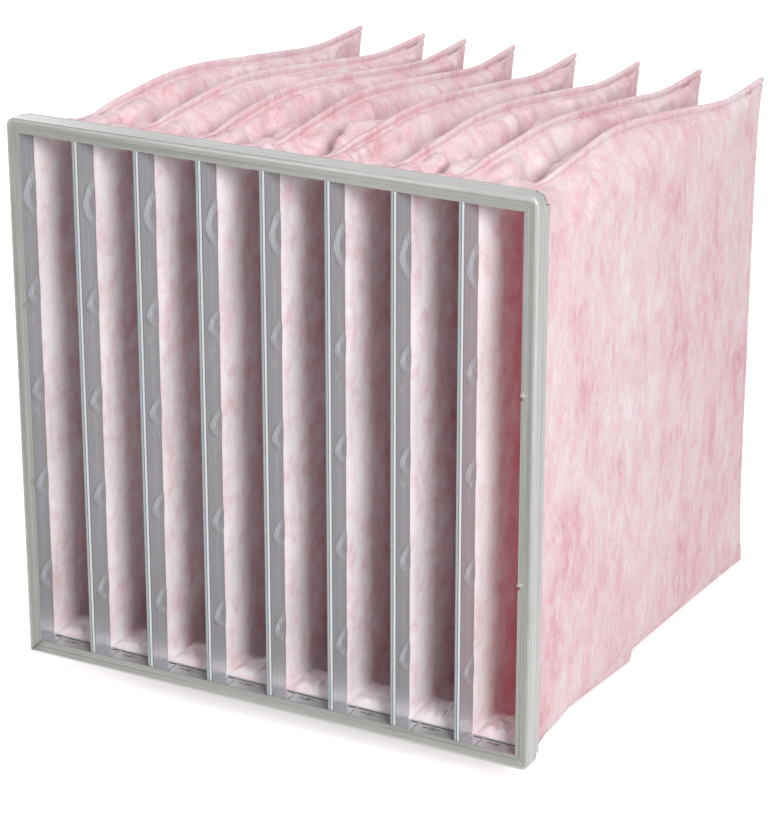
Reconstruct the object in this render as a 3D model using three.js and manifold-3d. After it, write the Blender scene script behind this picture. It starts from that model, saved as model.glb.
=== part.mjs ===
// Pocket air filter: a galvanised header frame, a row of folded pocket rings in it, and a sewn
// bag clamped in each ring. Millimetres, +Z up, air enters along +Y. The origin is the middle
// of the header's foot: X across the pockets, Y = 0 at half the header's depth, Z = 0 under it.

import * as THREE from 'three';
import { mergeVertices } from 'three/addons/utils/BufferGeometryUtils.js';
import Module from 'manifold-3d';

// Header frame
const HEADER_WIDTH = 592;
const HEADER_HEIGHT = 592;
const HEADER_DEPTH = 25;
const HEADER_SHEET = 0.8;
const FLANGE_WIDTH = 15;
const HEADER_CORNER_RADIUS = 9;
const JOINT_CORNER_RADIUS = 2.5;
const HEADER_EDGE_RADIUS = 2;
const RELIEF_MARGIN = 0.6;
const RELIEF_DEPTH = 11;
const JOINT_SLIT = 0.4;
const LANCE_SPACING = 196;
const LANCE_WIDTH = 4.5;
const LANCE_REACH = 3;

// Pocket rings
const POCKET_COUNT = 8;
const STACK_CLEARANCE = 7.2;
const RING_GAP = 0.6;
const RING_SHEET = 0.5;
const RING_FOLD = 2.7;
const RING_DEPTH = 29;
const RING_CORNER_RADIUS = 3;
const CRIMP_COUNT = 5;
const CRIMP_PITCH = 106;
const CRIMP_HEIGHT = 44;
const CRIMP_WIDTH = 16;
const CRIMP_DEPTH = 0.6;
const CRIMP_EDGE_DISTANCE = 1.5;
const SLOT_WIDTH = 1.4;
const SLOT_EDGE_DISTANCE = 2.6;
const SLOT_END_DISTANCE = 4;
const SLOT_BREAK = 3;
const RING_JOINT_PLACE = 17;
const RING_JOINT_SLIT = 0.4;

// Bags
const BAG_LENGTH = 640;
const BAG_WALL = 3;
const CLAMPED_WALL = 0.5;
const BAG_GAP = 0.6;
const SWELL_LENGTH = 8;
const SHOULDER_LENGTH = 60;
const TAPER_POWER = 1.5;
const REAR_SEAM_WIDTH = 12;
const SEAM_THICKNESS = 4.8;
const EDGE_SEAM_THICKNESS = 2.4;
const TOP_SEAM_HEIGHT = 8;
const BOTTOM_SEAM_HEIGHT = 8;
const BOTTOM_FLAP_HEIGHT = 21;
const BOTTOM_FLAP_LENGTH = 320;
const REAR_EDGE_HOLLOW = 15;
const TIP_SHARPNESS = 8;
const TOP_DROP = 23;
const TOP_SAG = 21;
const SAG_START = 180;
const BOTTOM_DROP = 20;
const BOTTOM_SAG = 19;
const FOLD_DEPTH = 5;
const FRONT_FULLNESS = 6;
const REAR_FULLNESS = 2.6;
const CAVITY_END_DISTANCE = 40;
const CAVITY_END_WIDTH = 3;

// How far the rear seam of each bag stands aside of its ring's middle, from the first bag on
const REAR_SWAY = [2, 13, -5, -14, -8, -1, 2, 4];

// Levels of the points up a bag's side, from its bottom seam to its top seam, and how much of a
// fold each point beside a seam takes, from the seam outwards. A seam's edge is narrower than
// the place where it leaves the bag by the last share.
const SKIN_LEVELS = [-1, -0.985, -0.92, -0.62, 0, 0.62, 0.92, 0.985, 1];
const CAVITY_LEVELS = [-1, -0.985, -0.92, 0, 0.92, 0.985, 1];
const FOLD_SHARES = [0, 1, 0.6];
const EDGE_SHARE = 0.6;

// Facets of the rounded shapes
const CORNER_STEPS = 4;
const EDGE_STEPS = 2;
const RING_CORNER_STEPS = 2;
const NOSE_STEPS = 2;

// Clearances
const SEAT_GAP = 0.3;
const CUT_OVER = 1;

// Places that follow from the sizes
const FRONT = -HEADER_DEPTH / 2;
const REAR = HEADER_DEPTH / 2;
const STACK_MARGIN = HEADER_SHEET + STACK_CLEARANCE;
const LIP_REACH = STACK_MARGIN - SEAT_GAP;
const PITCH = (HEADER_WIDTH - 2 * STACK_MARGIN) / POCKET_COUNT;
const RING_WIDTH = PITCH - RING_GAP;
const RING_HEIGHT = HEADER_HEIGHT - 2 * STACK_MARGIN;
const RING_FRONT = FRONT + HEADER_SHEET + SEAT_GAP;
const RING_REAR = RING_FRONT + RING_DEPTH;
const MIDDLE_HEIGHT = HEADER_HEIGHT / 2;
const BAG_REAR = REAR + BAG_LENGTH;

const GALVANISED = { color: 0xa9aaa6, roughness: 0.42, metalness: 0.85 };
const RING_STEEL = { color: 0x9aa3a0, roughness: 0.36, metalness: 0.9 };
const MEDIA = { color: 0xecd3d8, roughness: 0.95, metalness: 0 };

const wasm = await Module();
wasm.setup();

function clamp01(value) {
  return Math.min(1, Math.max(0, value));
}

function smooth(value) {
  const t = clamp01(value);
  return t * t * (3 - 2 * t);
}

function toSolid(geometry) {
  const bare = geometry.clone();
  bare.deleteAttribute('normal');
  bare.deleteAttribute('uv');
  const merged = mergeVertices(bare, 1e-4);
  return new wasm.Manifold(new wasm.Mesh({
    numProp: 3,
    vertProperties: new Float32Array(merged.attributes.position.array),
    triVerts: new Uint32Array(merged.index.array),
  }));
}

function toGeometry(solid) {
  const mesh = solid.getMesh();
  const geometry = new THREE.BufferGeometry();
  const places = new Float32Array(mesh.vertProperties);
  geometry.setAttribute('position', new THREE.BufferAttribute(places, 3));
  geometry.setIndex(new THREE.BufferAttribute(new Uint32Array(mesh.triVerts), 1));
  geometry.computeVertexNormals();
  return geometry;
}

function signedVolume(points, triangles) {
  let sum = 0;
  for (let i = 0; i < triangles.length; i += 3) {
    const [a, b, c] = [0, 1, 2].map((k) => points[triangles[i + k]]);
    sum += a.dot(new THREE.Vector3().crossVectors(b, c));
  }
  return sum / 6;
}

// A mesh from points and triangles, turned so that its faces look out
function skin(points, triangles) {
  if (signedVolume(points, triangles) < 0) {
    triangles.reverse();
  }
  const geometry = new THREE.BufferGeometry().setFromPoints(points);
  geometry.setIndex(triangles);
  return geometry;
}

// Joins equal loops of points side by side; closed joins the last loop to the first
function bands(loops, closed) {
  const size = loops[0].length;
  const triangles = [];
  const last = closed ? loops.length : loops.length - 1;
  for (let i = 0; i < last; i += 1) {
    const here = i * size;
    const next = ((i + 1) % loops.length) * size;
    for (let j = 0; j < size; j += 1) {
      const k = (j + 1) % size;
      triangles.push(here + j, here + k, next + k, here + j, next + k, next + j);
    }
  }
  return triangles;
}

// Closes a loop by rungs between its first and its last points, like a ladder
function rungs(start, size, turned) {
  const triangles = [];
  for (let i = 0; i < size / 2 - 1; i += 1) {
    const [a, b] = [start + i, start + i + 1];
    const [c, d] = [start + size - 2 - i, start + size - 1 - i];
    triangles.push(...(turned ? [a, b, c, a, c, d] : [a, c, b, a, d, c]));
  }
  return triangles;
}

function loft(loops) {
  const size = loops[0].length;
  const triangles = [
    ...bands(loops, false),
    ...rungs(0, size, false),
    ...rungs((loops.length - 1) * size, size, true),
  ];
  return skin(loops.flat(), triangles);
}

function box(x0, x1, y0, y1, z0, z1) {
  const geometry = new THREE.BoxGeometry(x1 - x0, y1 - y0, z1 - z0);
  geometry.translate((x0 + x1) / 2, (y0 + y1) / 2, (z0 + z1) / 2);
  return toSolid(geometry);
}

// A rounded rectangle in a plane across Y, in from the header's outside by inset
function headerLoop(inset, y) {
  const points = [];
  for (let corner = 0; corner < 4; corner += 1) {
    const side = corner === 0 || corner === 3 ? 1 : -1;
    const up = corner < 2 ? 1 : -1;
    const bend = corner === 2 ? JOINT_CORNER_RADIUS : HEADER_CORNER_RADIUS;
    const radius = bend - inset;
    for (let i = 0; i <= CORNER_STEPS; i += 1) {
      const angle = (corner + i / CORNER_STEPS) * Math.PI / 2;
      points.push(new THREE.Vector3(
        side * (HEADER_WIDTH / 2 - bend) + radius * Math.cos(angle),
        y,
        MIDDLE_HEIGHT + up * (HEADER_HEIGHT / 2 - bend) + radius * Math.sin(angle),
      ));
    }
  }
  return points;
}

// Loops that round the header's front edge, for a skin that lies depth under its outside
function roundedEdge(depth) {
  const radius = HEADER_EDGE_RADIUS - depth;
  const loops = [];
  for (let i = 0; i <= EDGE_STEPS; i += 1) {
    const angle = (i / EDGE_STEPS) * Math.PI / 2;
    const inset = HEADER_EDGE_RADIUS - radius * Math.sin(angle);
    loops.push(headerLoop(inset, FRONT + HEADER_EDGE_RADIUS - radius * Math.cos(angle)));
  }
  return loops;
}

function headerShell() {
  const outside = toSolid(loft([...roundedEdge(0), headerLoop(0, REAR)]));
  const hollowRear = REAR - HEADER_SHEET;
  const hollow = toSolid(loft([...roundedEdge(HEADER_SHEET), headerLoop(HEADER_SHEET, hollowRear)]));
  const rearMouth = box(
    LIP_REACH - HEADER_WIDTH / 2, HEADER_WIDTH / 2 - LIP_REACH,
    0, REAR + CUT_OVER,
    LIP_REACH, HEADER_HEIGHT - LIP_REACH,
  );
  const frontMouth = box(
    FLANGE_WIDTH - HEADER_WIDTH / 2, HEADER_WIDTH / 2 - FLANGE_WIDTH,
    FRONT - CUT_OVER, 0,
    FLANGE_WIDTH, HEADER_HEIGHT - FLANGE_WIDTH,
  );
  return outside.subtract(hollow).subtract(rearMouth).subtract(frontMouth);
}

// Relief cuts at the three bent corners let the rear half of the strip turn the corner
function cornerReliefs() {
  const width = Math.SQRT2 * (2 * LIP_REACH + RELIEF_MARGIN);
  const depth = RELIEF_DEPTH + CUT_OVER;
  const cuts = [];
  for (const [side, z] of [[-1, HEADER_HEIGHT], [1, HEADER_HEIGHT], [1, 0]]) {
    const geometry = new THREE.BoxGeometry(width, depth, width);
    geometry.rotateY(Math.PI / 4);
    geometry.translate(side * HEADER_WIDTH / 2, REAR + CUT_OVER - depth / 2, z);
    cuts.push(toSolid(geometry));
  }
  return cuts;
}

// The strip's two ends meet in a mitre at the lower left corner
function closingSlit() {
  const reach = FLANGE_WIDTH * 2;
  const geometry = new THREE.BoxGeometry(reach * 2, HEADER_DEPTH + 2 * CUT_OVER, JOINT_SLIT);
  geometry.rotateY(-Math.PI / 4);
  geometry.translate(-HEADER_WIDTH / 2, 0, 0);
  return toSolid(geometry);
}

// Notches lanced into the flange's inner edge, two on each upright
function lanceNotch(side, z) {
  const outline = new THREE.Shape([
    new THREE.Vector2(-CUT_OVER, -LANCE_WIDTH / 2),
    new THREE.Vector2(LANCE_REACH, LANCE_WIDTH / 4),
    new THREE.Vector2(LANCE_REACH / 2, LANCE_WIDTH / 2),
    new THREE.Vector2(-CUT_OVER, LANCE_WIDTH / 2),
  ]);
  const depth = HEADER_SHEET + 2 * CUT_OVER;
  const geometry = new THREE.ExtrudeGeometry(outline, { depth, bevelEnabled: false });
  geometry.rotateX(Math.PI / 2);
  if (side < 0) {
    geometry.rotateY(Math.PI);
  }
  geometry.translate(side * (HEADER_WIDTH / 2 - FLANGE_WIDTH), FRONT - CUT_OVER + depth, z);
  return toSolid(geometry);
}

function headerFrame() {
  let solid = headerShell();
  for (const cut of cornerReliefs()) {
    solid = solid.subtract(cut);
  }
  solid = solid.subtract(closingSlit());
  for (const side of [-1, 1]) {
    for (const place of [-0.5, 0.5]) {
      solid = solid.subtract(lanceNotch(side, MIDDLE_HEIGHT + place * LANCE_SPACING));
    }
  }
  return toGeometry(solid);
}

// Section of a ring's channel, open to the rear: u is the reach in from the ring's outside
function ringProfile() {
  const nose = RING_FOLD / 2;
  const inside = nose - RING_SHEET;
  const points = [[0, RING_DEPTH]];
  for (let i = 0; i <= NOSE_STEPS; i += 1) {
    const angle = (i / NOSE_STEPS) * Math.PI;
    points.push([nose - nose * Math.cos(angle), nose - nose * Math.sin(angle)]);
  }
  points.push([RING_FOLD, RING_DEPTH], [RING_FOLD - RING_SHEET, RING_DEPTH]);
  for (const angle of [Math.PI, Math.PI / 2, 0]) {
    points.push([nose - inside * Math.cos(angle), nose - inside * Math.sin(angle)]);
  }
  points.push([RING_SHEET, RING_DEPTH]);
  return points;
}

// The channel goes round the mouth of a pocket, with its four corners bent
function ringChannel() {
  const halfWidth = RING_WIDTH / 2 - RING_CORNER_RADIUS;
  const halfHeight = RING_HEIGHT / 2 - RING_CORNER_RADIUS;
  const loops = [];
  for (let corner = 0; corner < 4; corner += 1) {
    const side = corner === 0 || corner === 3 ? 1 : -1;
    const up = corner < 2 ? 1 : -1;
    for (let i = 0; i <= RING_CORNER_STEPS; i += 1) {
      const angle = (corner + i / RING_CORNER_STEPS) * Math.PI / 2;
      loops.push(ringProfile().map(([u, v]) => new THREE.Vector3(
        side * halfWidth + (RING_CORNER_RADIUS - u) * Math.cos(angle),
        RING_FRONT + v,
        MIDDLE_HEIGHT + up * halfHeight + (RING_CORNER_RADIUS - u) * Math.sin(angle),
      )));
    }
  }
  return toSolid(skin(loops.flat(), bands(loops, true)));
}

// A shallow four-sided dent, pressed out of the pocket into the channel
function dent(side, z, mouth) {
  const geometry = new THREE.ConeGeometry(Math.SQRT1_2, CRIMP_DEPTH, 4);
  geometry.rotateY(Math.PI / 4);
  geometry.scale(CRIMP_WIDTH, 1, CRIMP_HEIGHT);
  geometry.rotateZ(-side * Math.PI / 2);
  const middle = RING_REAR - CRIMP_EDGE_DISTANCE - CRIMP_WIDTH / 2;
  geometry.translate(side * (mouth + CRIMP_DEPTH / 2), middle, z);
  return toSolid(geometry);
}

function crimpHeights() {
  const first = MIDDLE_HEIGHT - (CRIMP_COUNT - 1) * CRIMP_PITCH / 2;
  return Array.from({ length: CRIMP_COUNT }, (unused, i) => first + i * CRIMP_PITCH);
}

function crimped(solid) {
  const face = RING_WIDTH / 2 - RING_FOLD;
  let result = solid;
  for (const side of [-1, 1]) {
    for (const z of crimpHeights()) {
      result = result.add(dent(side, z, face + RING_SHEET)).subtract(dent(side, z, face));
    }
  }
  return result;
}

// Slots near the rear edge of the top and bottom legs leave a narrow bead behind them
function slotted(solid) {
  const half = RING_WIDTH / 2 - RING_FOLD - SLOT_END_DISTANCE;
  const joint = RING_JOINT_PLACE - RING_WIDTH / 2;
  const y0 = RING_REAR - SLOT_EDGE_DISTANCE - SLOT_WIDTH;
  const reach = RING_SHEET / 2;
  const legs = [
    STACK_MARGIN + RING_FOLD - RING_SHEET,
    HEADER_HEIGHT - STACK_MARGIN - RING_FOLD,
  ];
  let result = solid;
  for (const z of legs) {
    for (const [x0, x1] of [[-half, joint - SLOT_BREAK / 2], [joint + SLOT_BREAK / 2, half]]) {
      result = result.subtract(box(x0, x1, y0, y0 + SLOT_WIDTH, z - reach, z + RING_SHEET + reach));
    }
  }
  return result;
}

// The two ends of the ring's strip meet in the bottom run
function jointed(solid) {
  const joint = RING_JOINT_PLACE - RING_WIDTH / 2;
  return solid.subtract(box(
    joint - RING_JOINT_SLIT / 2, joint + RING_JOINT_SLIT / 2,
    RING_FRONT - CUT_OVER, RING_REAR + CUT_OVER,
    STACK_MARGIN - CUT_OVER, STACK_MARGIN + RING_FOLD + CUT_OVER,
  ));
}

// Places and sizes of a bag's section at one depth, before its folds
function bagSection(y) {
  const start = RING_REAR + SEAT_GAP;
  const bodied = smooth((y - start) / SHOULDER_LENGTH);
  const taperStart = start + SHOULDER_LENGTH;
  const taper = clamp01((y - taperStart) / (BAG_REAR - REAR_SEAM_WIDTH - taperStart));
  const along = clamp01((y - start) / (BAG_REAR - start));
  const clamped = RING_WIDTH / 2 - RING_SHEET - SEAT_GAP;
  const swell = (PITCH - BAG_GAP) / 2 - clamped;
  const mouth = clamped + swell * smooth((y - start) / SWELL_LENGTH);
  const seam = SEAM_THICKNESS / 2;
  const margin = STACK_MARGIN + RING_SHEET + SEAT_GAP;
  const sag = smooth((y - start - SAG_START) / (BAG_REAR - start - SAG_START));
  return {
    y,
    along,
    bodied,
    half: seam + (mouth - seam) * (1 - taper ** TAPER_POWER),
    top: HEADER_HEIGHT - margin - TOP_DROP * bodied - TOP_SAG * sag,
    bottom: margin - BOTTOM_DROP * bodied - BOTTOM_SAG * along * along,
    power: FRONT_FULLNESS + (REAR_FULLNESS - FRONT_FULLNESS) * taper,
    radius: RING_CORNER_RADIUS - RING_SHEET - SEAT_GAP,
  };
}

// The same section drawn in by the thickness of the media
function insideOf(section, wall) {
  return {
    ...section,
    half: section.half - wall,
    top: section.top - wall,
    bottom: section.bottom + wall,
    radius: section.radius - CLAMPED_WALL,
  };
}

// One side's outline from bottom to top: square in the ring, lens-shaped in the bag's body.
// Levels run from -1 at the bottom to 1 at the top; fold pinches the points beside the seams.
function sideOutline(section, levels, fold) {
  const { half, top, bottom, radius, power, bodied } = section;
  const middle = (top + bottom) / 2;
  const reach = (top - bottom) / 2;
  const seam = EDGE_SEAM_THICKNESS / 2;
  const last = levels.length - 1;
  return levels.map((level, i) => {
    const fromEnd = Math.min(i, last - i);
    const squareX = [seam * 2, half - radius][fromEnd] ?? half;
    const squareZ = [1, 1, 1 - radius / reach][fromEnd] ?? Math.abs(level);
    const lens = Math.max(half * (1 - Math.abs(level) ** power) ** (1 / power), Math.min(seam, half));
    const pinch = (FOLD_SHARES[fromEnd] ?? 0) * fold;
    return [
      squareX + (lens - squareX) * bodied - Math.min(pinch, lens / 2),
      middle + reach * (Math.sign(level) * squareZ * (1 - bodied) + level * bodied),
    ];
  });
}

// A whole loop round the bag, with the seam's upright edges above and below
function bagLoop(index, section, levels, seams) {
  const { y, along, top, bottom } = section;
  const right = sideOutline(section, levels, seams.rightFold);
  const left = sideOutline(section, levels, seams.leftFold).map(([x, z]) => [-x, z]).reverse();
  const edge = Math.min(EDGE_SEAM_THICKNESS / 2, right[0][0] * EDGE_SHARE);
  const outline = [
    [edge, bottom - seams.below],
    ...right,
    [edge, top + seams.above],
    [-edge, top + seams.above],
    ...left,
    [-edge, bottom - seams.below],
  ];
  const sway = REAR_SWAY[index % REAR_SWAY.length] * along * along;
  return outline.map(([x, z]) => {
    const level = Math.min(1, Math.abs(2 * z - top - bottom) / (top - bottom));
    const hollow = REAR_EDGE_HOLLOW * (1 - level ** TIP_SHARPNESS);
    return new THREE.Vector3(x + sway, y - hollow * along * along, z);
  });
}

const FLAT_SEAMS = { above: 0, below: 0, rightFold: 0, leftFold: 0 };
const CAVITY_SEAMS = { ...FLAT_SEAMS, rightFold: FOLD_DEPTH, leftFold: FOLD_DEPTH };

// Depths at which the bag's skin changes, from the ring's rear edge to the rear seam
function bagDepths() {
  const start = RING_REAR + SEAT_GAP;
  const full = start + SHOULDER_LENGTH;
  const flapEnd = REAR + BOTTOM_FLAP_LENGTH;
  const seamStart = BAG_REAR - REAR_SEAM_WIDTH;
  return {
    lip: [start, start + SWELL_LENGTH, start + SHOULDER_LENGTH / 2],
    front: [full, full + (flapEnd - full) / 3, full + (flapEnd - full) * 2 / 3, flapEnd],
    rear: [flapEnd + SWELL_LENGTH / 2, flapEnd + (seamStart - flapEnd) / 3,
      flapEnd + (seamStart - flapEnd) * 2 / 3],
    seam: [seamStart, BAG_REAR],
  };
}

// Seam edges and folds at one depth: the folds go from one side to the other, depth by depth
function seamsAt(section, turn, folded, flap) {
  const fold = folded ? FOLD_DEPTH : 0;
  return {
    above: TOP_SEAM_HEIGHT * section.bodied,
    below: flap,
    rightFold: turn % 2 === 0 ? fold : 0,
    leftFold: turn % 2 === 0 ? 0 : fold,
  };
}

function bagOutside(index) {
  const depths = bagDepths();
  const mouth = { ...bagSection(RING_REAR), y: RING_FRONT + RING_FOLD / 2 };
  const loops = [bagLoop(index, mouth, SKIN_LEVELS, FLAT_SEAMS)];
  const flapGrowth = BOTTOM_FLAP_HEIGHT / (depths.front.at(-1) - depths.lip[0]);
  [...depths.lip, ...depths.front].forEach((y, i) => {
    const section = bagSection(y);
    const flap = flapGrowth * (y - depths.lip[0]);
    const seams = seamsAt(section, i + index, i > 2, flap);
    loops.push(bagLoop(index, section, SKIN_LEVELS, seams));
  });
  [...depths.rear, ...depths.seam].forEach((y, i) => {
    const section = bagSection(y);
    const seams = seamsAt(section, i + index, i < depths.rear.length, BOTTOM_SEAM_HEIGHT);
    loops.push(bagLoop(index, section, SKIN_LEVELS, seams));
  });
  return toSolid(loft(loops));
}

// The air space in a bag: the media is pressed thin in the ring and full-thick behind it.
// Behind the ring it keeps clear of the folds on both sides.
function bagInside(index) {
  const { lip, front, rear, seam } = bagDepths();
  const square = bagSection(RING_REAR);
  const clamped = insideOf(square, CLAMPED_WALL);
  const loops = [
    bagLoop(index, { ...clamped, y: RING_FRONT }, CAVITY_LEVELS, FLAT_SEAMS),
    bagLoop(index, { ...clamped, y: lip[0] }, CAVITY_LEVELS, FLAT_SEAMS),
    bagLoop(index, insideOf(bagSection(lip[0]), BAG_WALL), CAVITY_LEVELS, FLAT_SEAMS),
  ];
  const end = seam[0] - CAVITY_END_DISTANCE;
  for (const y of [front[0], front[1], front[3], rear[2], end]) {
    const section = insideOf(bagSection(y), BAG_WALL);
    if (section.half > CAVITY_END_WIDTH / 2) {
      loops.push(bagLoop(index, section, CAVITY_LEVELS, CAVITY_SEAMS));
    }
  }
  return toSolid(loft(loops));
}

function bag(index) {
  return toGeometry(bagOutside(index).subtract(bagInside(index)));
}

function named(name, geometry, finish) {
  const mesh = new THREE.Mesh(geometry, new THREE.MeshStandardMaterial(finish));
  mesh.name = name;
  return mesh;
}

const filter = new THREE.Group();
filter.add(named('header_frame', headerFrame(), GALVANISED));
const ring = toGeometry(jointed(slotted(crimped(ringChannel()))));
for (let i = 0; i < POCKET_COUNT; i += 1) {
  const x = (i - (POCKET_COUNT - 1) / 2) * PITCH;
  const ringMesh = named(`pocket_ring_${i + 1}`, ring.clone(), RING_STEEL);
  ringMesh.position.x = x;
  const bagMesh = named(`pocket_bag_${i + 1}`, bag(i), MEDIA);
  bagMesh.position.x = x;
  filter.add(ringMesh, bagMesh);
}

export default filter;
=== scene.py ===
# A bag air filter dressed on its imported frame: header frame, pocket rings and sewn media bags.
import math

import bpy
import numpy as np
from bpy.props import FloatProperty, FloatVectorProperty, IntProperty, PointerProperty
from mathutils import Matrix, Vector


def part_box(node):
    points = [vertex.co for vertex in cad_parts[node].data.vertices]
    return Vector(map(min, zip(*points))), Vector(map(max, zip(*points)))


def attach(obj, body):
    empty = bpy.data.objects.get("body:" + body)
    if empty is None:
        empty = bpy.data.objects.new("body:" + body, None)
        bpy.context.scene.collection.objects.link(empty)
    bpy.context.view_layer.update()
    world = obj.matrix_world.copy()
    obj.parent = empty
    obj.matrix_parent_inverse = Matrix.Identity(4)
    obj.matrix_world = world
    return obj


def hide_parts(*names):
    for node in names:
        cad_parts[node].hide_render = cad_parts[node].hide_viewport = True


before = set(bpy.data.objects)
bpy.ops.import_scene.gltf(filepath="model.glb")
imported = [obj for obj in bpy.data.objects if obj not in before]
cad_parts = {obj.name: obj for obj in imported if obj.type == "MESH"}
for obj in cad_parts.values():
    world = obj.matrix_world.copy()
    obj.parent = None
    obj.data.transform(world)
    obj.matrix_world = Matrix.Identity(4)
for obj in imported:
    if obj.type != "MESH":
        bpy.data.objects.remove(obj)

bl_info = {
    "name": "Bag air filter",
    "version": (1, 0, 0),
    "blender": (4, 5, 0),
    "location": "3D View > Sidebar > Bag filter",
    "description": "Builds a bag air filter with its header frame, pocket rings, bags and studio",
    "category": "Object",
}

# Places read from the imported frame, in millimetres
MM = 0.001
HEADER_LOW, HEADER_HIGH = (np.array(corner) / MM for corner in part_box("header_frame"))
RING_LOW, RING_HIGH = (np.array(corner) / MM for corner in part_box("pocket_ring_1"))
NEXT_RING_LOW = np.array(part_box("pocket_ring_2")[0]) / MM
BAG_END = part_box("pocket_bag_1")[1][1] / MM
POCKETS = sum(1 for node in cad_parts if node.startswith("pocket_ring_"))
PITCH = NEXT_RING_LOW[0] - RING_LOW[0]
LOWEST = min(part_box(node)[0][2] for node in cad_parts) / MM

# Sizes that the solids share with the dressed pieces, in millimetres
HEADER_SHEET = 0.8
FLANGE_WIDTH = 15.0
LIP_REACH = 7.7
HEADER_BEND = 9.0
RELIEF_REACH = 3.0
RELIEF_START = 6.0
RING_SHEET = 0.5
RING_FOLD = 2.7
RING_BEND = 3.0
BAG_WALL = 3.0
CLAMPED_WALL = 0.5
CLAMP_REACH = 2.1
REAR_STRIP = 12.0
FLAP_END = 332.5
BAG_CLEARANCE = 0.3
BAG_START = RING_HIGH[1] + BAG_CLEARANCE
FLAP_DROP = 21.0
RING_HALF = (RING_HIGH[0] - RING_LOW[0]) / 2
RING_JOINT = 17.0 - RING_HALF
SLOT_END = RING_HALF - RING_FOLD - 4.0

# Sizes of the dressed details and of the flat media, in millimetres or as shares
LANCE_HEIGHT = 98.0
CRIMP_LENGTH, TOP_CRIMP_LENGTH = 16.0, 27.0
STITCHED_SHARE = 0.12
FIRST_STITCHED_LOOP = 6
SEAM_RISE = (0.0, 0.12, 0.45, 0.8, 0.93, 1.0)
SEAM_SHAPE = (0.85, 0.3, 1.0, 0.95, 0.6, 0.0)
INNER_SEAM_SHAPE = (1.0, 0.88, 0.55, 0.2, 0.07, 0.0)
REAR_SWAY = (2, 13, -5, -14, -8, -1, 2, 4)

# Painted light and shade across the sheets' sections, each as a place in millimetres and a tint.
# The left uprights of a ring read theirs from a shifted place on, where a painted highlight lies on
# their nose.
HIGHLIGHT_SHIFT = 200.0
# The header's web is painted as lit, its flange painted in shade and its rounded rims painted as
# highlights.
WEB_LIT, FLANGE_SHADE, RIM_HIGHLIGHT = (1.0, 1.0, 1.0), (0.68, 0.68, 0.65), (0.95, 0.95, 0.93)
HEADER_PAINTED_LIGHT = (
    (0.0, WEB_LIT), (30.5, WEB_LIT), (32.5, RIM_HIGHLIGHT), (34.0, RIM_HIGHLIGHT), (35.5, FLANGE_SHADE), (46.6, FLANGE_SHADE), (60.0, RIM_HIGHLIGHT))
# The nose tint paints the folded nose darker as shade; the bright tones paint a highlight on the
# nose of a ring's left uprights and the light just beside it.
LEG, NOSE_SHADE = (0.95, 0.97, 0.97), (0.48, 0.54, 0.52)
NOSE_HIGHLIGHT, BESIDE_LIT = (1.0, 1.0, 1.0), (0.98, 0.98, 0.99)
RING_PAINTED_LIGHT = (
    (0.0, LEG), (27.6, LEG), (28.8, NOSE_SHADE), (32.2, NOSE_SHADE), (33.4, LEG), (60.0, LEG),
    (227.6, LEG), (228.6, NOSE_HIGHLIGHT), (231.2, NOSE_HIGHLIGHT), (231.8, NOSE_SHADE), (232.6, NOSE_SHADE), (233.6, BESIDE_LIT),
    (242.0, LEG), (260.0, LEG))

# Lamps: name, place, size and share of the key light's power
LAMPS = (
    ("key", (2.8, -2.7, 2.2), (1.0, 1.3), 1.0),
    ("fill", (-0.6, -3.6, 1.6), (2.0, 2.0), 0.08),
    ("top", (0.4, 0.9, 3.3), (2.4, 2.4), 0.2),
    ("rear", (-3.6, 2.6, 1.5), (2.4, 2.4), 0.4),
)


def smooth(value):
    """Eases a number or an array from 0 to 1."""
    t = np.clip(value, 0.0, 1.0)
    return t * t * (3 - 2 * t)


def hump(value, centre, width):
    """A soft bump of height 1."""
    return np.exp(-((value - centre) / width) ** 2)


def rolling(a, b, length_a, length_b, seed, count=8):
    """Smooth seeded unevenness over two distances, about -1 to 1."""
    rng = np.random.RandomState(seed)
    total = 0.0
    for _ in range(count):
        angle, rate, phase = rng.uniform(0, 2 * math.pi), rng.uniform(0.6, 1.5), rng.uniform(0, 7)
        turn = math.cos(angle) * a / length_a + math.sin(angle) * b / length_b
        total = total + np.sin(2 * math.pi * rate * turn + phase)
    return total / math.sqrt(count / 2) / 1.4


def puffed(wave):
    """Turns unevenness into soft pads with sharp valleys between them."""
    return np.abs(wave) ** 0.7 - 0.55


def linear(red, green, blue):
    """A colour as seen on a screen, 0 to 255, as linear values with alpha."""
    return (*[((c / 255 + 0.055) / 1.055) ** 2.4 for c in (red, green, blue)], 1.0)


def pocket_x(number):
    """How far a pocket lies to the right of the filter's middle, in millimetres."""
    return (number - (POCKETS - 1) / 2) * PITCH


# Meshes
def add_piece(name, points, faces, materials, coordinates=None, second_from=None):
    """Makes one smooth-shaded piece from points in millimetres and lets it ride on the filter."""
    if not faces:
        raise RuntimeError(f"{name} has no faces")
    mesh = bpy.data.meshes.new(name)
    mesh.from_pydata((np.asarray(points) * MM).tolist(), [], faces)
    for material in materials:
        mesh.materials.append(material)
    if second_from is not None:
        index = [0] * second_from + [1] * (len(mesh.polygons) - second_from)
        mesh.polygons.foreach_set("material_index", index)
    mesh.polygons.foreach_set("use_smooth", [True] * len(mesh.polygons))
    if coordinates is not None:
        layer = mesh.uv_layers.new(name="sheet")
        index = np.zeros(len(mesh.loops), dtype=int)
        mesh.loops.foreach_get("vertex_index", index)
        layer.data.foreach_set("uv", (np.asarray(coordinates)[index] * MM).ravel())
    mesh.update()
    piece = bpy.data.objects.new(name, mesh)
    bpy.context.scene.collection.objects.link(piece)
    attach(piece, "root")
    return piece


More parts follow.
